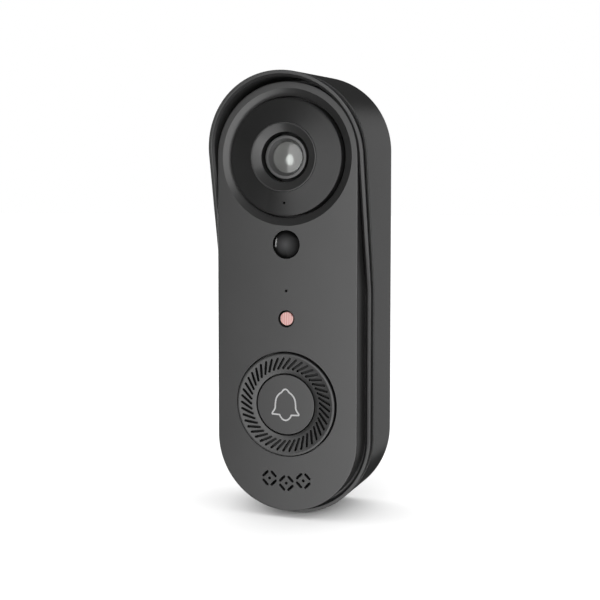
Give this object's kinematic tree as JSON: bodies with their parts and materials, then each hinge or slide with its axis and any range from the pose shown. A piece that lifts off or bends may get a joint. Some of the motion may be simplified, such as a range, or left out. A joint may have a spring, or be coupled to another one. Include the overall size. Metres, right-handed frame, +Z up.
{
  "type": "video doorbell",
  "caption": "Pill-shaped battery video doorbell: hooded camera above a round bell button, on a flush wall bracket it lifts off.",
  "frame": {"origin": "centre of the wall bracket's back face, half way up the front plate", "axes": "+Z up, +Y into the wall, so the front faces -Y, and +X to the right of a visitor facing it"},
  "size_m": [0.0526, 0.041, 0.1468],
  "materials": {
    "case_plastic": "fine matt moulded dark grey",
    "plate_plastic": "fine matt dark grey",
    "gloss_black": "satin to gloss black",
    "black_plastic": "matt black",
    "lens_glass": "coated optical glass",
    "sensor_pink": "clear resin over a pink ceramic track",
    "rubber": "matt black rubber",
    "steel": "plated steel",
    "circuit_board": "green solder mask",
    "cell_wrap": "satin blue shrink sleeve",
    "chip": "dark chip package"
  },
  "bodies": {
    "bracket": {"wall_bracket": "black_plastic"},
    "housing": {"rear_shell": "case_plastic", "visor_frame": "case_plastic", "battery_door": "case_plastic", "front_plate": "plate_plastic", "button_ring": "plate_plastic", "camera_cover_disc": "gloss_black", "pir_dome": "gloss_black", "ir_led_1": "gloss_black", "ir_led_2": "gloss_black", "ir_led_3": "gloss_black", "ir_led_4": "gloss_black", "ir_led_5": "gloss_black", "lens_trim_cone": "black_plastic", "lens_barrel": "black_plastic", "lens_spacer": "black_plastic", "lens_iris": "black_plastic", "lens_holder": "black_plastic", "light_sensor_holder": "black_plastic", "speaker": "black_plastic", "battery_tray": "black_plastic", "front_lens": "lens_glass", "middle_lens": "lens_glass", "rear_lens": "lens_glass", "status_light": "lens_glass", "light_sensor": "sensor_pink", "seam_gasket": "rubber", "mic_boot": "rubber", "speaker_gasket": "rubber", "pir_sensor": "steel", "microphone": "steel", "bell_switch": "steel", "processor_shield": "steel", "wifi_module": "steel", "battery_spring_1": "steel", "battery_spring_2": "steel", "battery_contact_1": "steel", "battery_contact_2": "steel", "battery_link": "steel", "case_screw_1": "steel", "case_screw_2": "steel", "case_screw_3": "steel", "case_screw_4": "steel", "door_screw": "steel", "lock_screw": "steel", "charge_socket": "steel", "reset_switch": "steel", "camera_board": "circuit_board", "ir_led_board": "circuit_board", "main_board": "circuit_board", "charge_board": "circuit_board", "battery_cell_1": "cell_wrap", "battery_cell_2": "cell_wrap", "image_sensor": "chip", "wifi_antenna": "chip"},
    "button": {"bell_button": "plate_plastic"},
    "plunger": {"switch_plunger": "gloss_black"},
    "reset_key": {"reset_key": "rubber"},
    "socket_cover": {"socket_cover": "rubber"}
  },
  "joints": [
    {"name": "housing_lift", "type": "slide", "parent": "bracket", "child": "housing", "axis": [0, 0, 1], "range_m": [0, 0.004]},
    {"name": "bell_button_press", "type": "slide", "parent": "housing", "child": "button", "axis": [0, 1, 0], "range_m": [0, 0.0006], "stiffness_N_per_m": 1500, "springref_m": -0.0008},
    {"name": "switch_plunger_press", "type": "slide", "parent": "housing", "child": "plunger", "axis": [0, 1, 0], "range_m": [0, 0.0006]},
    {"name": "reset_key_press", "type": "slide", "parent": "housing", "child": "reset_key", "axis": [0, -1, 0], "range_m": [0, 0.0005], "stiffness_N_per_m": 1200, "springref_m": -0.0008},
    {"name": "socket_cover_swing", "type": "hinge", "parent": "housing", "child": "socket_cover", "pos_m": [0, -0.0104, -0.0723], "axis": [1, 0, 0], "range_deg": [0, 100]}
  ],
  "couplings": [
    {"joint": "switch_plunger_press", "follows": "bell_button_press", "ratio": 1}
  ]
}
